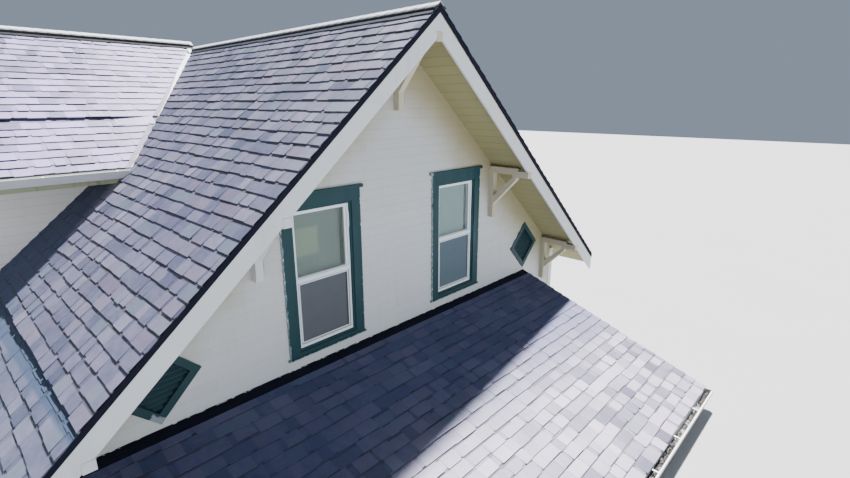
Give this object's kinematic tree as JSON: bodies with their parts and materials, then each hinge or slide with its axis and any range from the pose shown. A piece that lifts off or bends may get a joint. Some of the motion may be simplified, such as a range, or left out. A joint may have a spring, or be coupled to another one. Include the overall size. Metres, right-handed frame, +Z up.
{
  "type": "gabled dormer storey",
  "caption": "Gabled dormer storey with tall paired windows, bracketed overhanging eaves, diamond vents, a lean-to roof in front and a side roof meeting it at a valley.",
  "frame": {"origin": "on the level base, under the middle of the gable wall", "axes": "+X to the right seen from the front, +Y into the house, +Z up"},
  "size_m": [8.09, 8.384, 4.9718],
  "materials": {
    "grey_siding": "painted horizontal siding boards",
    "white_trim": "white paint, weathered",
    "white_frame": "white paint",
    "soffit_paint": "cream paint",
    "teal_paint": "dark blue-green paint, chipped at the edges",
    "shingles": "grey asphalt shingles with mineral grains",
    "pale_metal": "dull sheet",
    "dark_metal": "dark painted sheet",
    "white_metal": "white painted sheet",
    "window_glass": "clear glass",
    "blind": "plain pale blind",
    "floor_boards": "plain boards"
  },
  "bodies": {
    "root": {"gable_wall": "grey_siding", "left_wall": "grey_siding", "right_wall": "grey_siding", "back_wall": "grey_siding", "side_roof_front_wall": "grey_siding", "side_roof_end_wall": "grey_siding", "attic_floor": "floor_boards", "roof_left": "shingles", "roof_right": "shingles", "roof_left_low_strip": "shingles", "side_roof": "shingles", "ridge_cap": "shingles", "side_ridge_cap": "shingles", "valley_flashing": "pale_metal", "side_roof_fascia": "white_trim", "side_roof_gutter": "white_metal", "lower_roof": "shingles", "lower_front_wall": "grey_siding", "lower_left_wall": "grey_siding", "lower_right_wall": "grey_siding", "lower_roof_fascia": "white_trim", "lower_roof_gutter": "white_metal", "wall_flashing": "dark_metal", "barge_board_left": "white_trim", "barge_board_right": "white_trim", "gable_soffit": "soffit_paint", "rake_drip_edge": "dark_metal", "eave_fascia_left": "white_trim", "eave_fascia_right": "white_trim", "ridge_bracket": "white_trim", "mid_bracket_left": "white_trim", "mid_bracket_right": "white_trim", "eave_bracket_left": "white_trim", "eave_bracket_right": "white_trim", "window_casing_left": "teal_paint", "window_casing_right": "teal_paint", "window_frame_left": "white_frame", "window_frame_right": "white_frame", "lower_sash_left": "white_frame", "lower_sash_right": "white_frame", "window_glass_left": "window_glass", "window_glass_right": "window_glass", "window_blinds": "blind", "vent_left": "teal_paint", "vent_right": "teal_paint"}
  },
  "joints": []
}
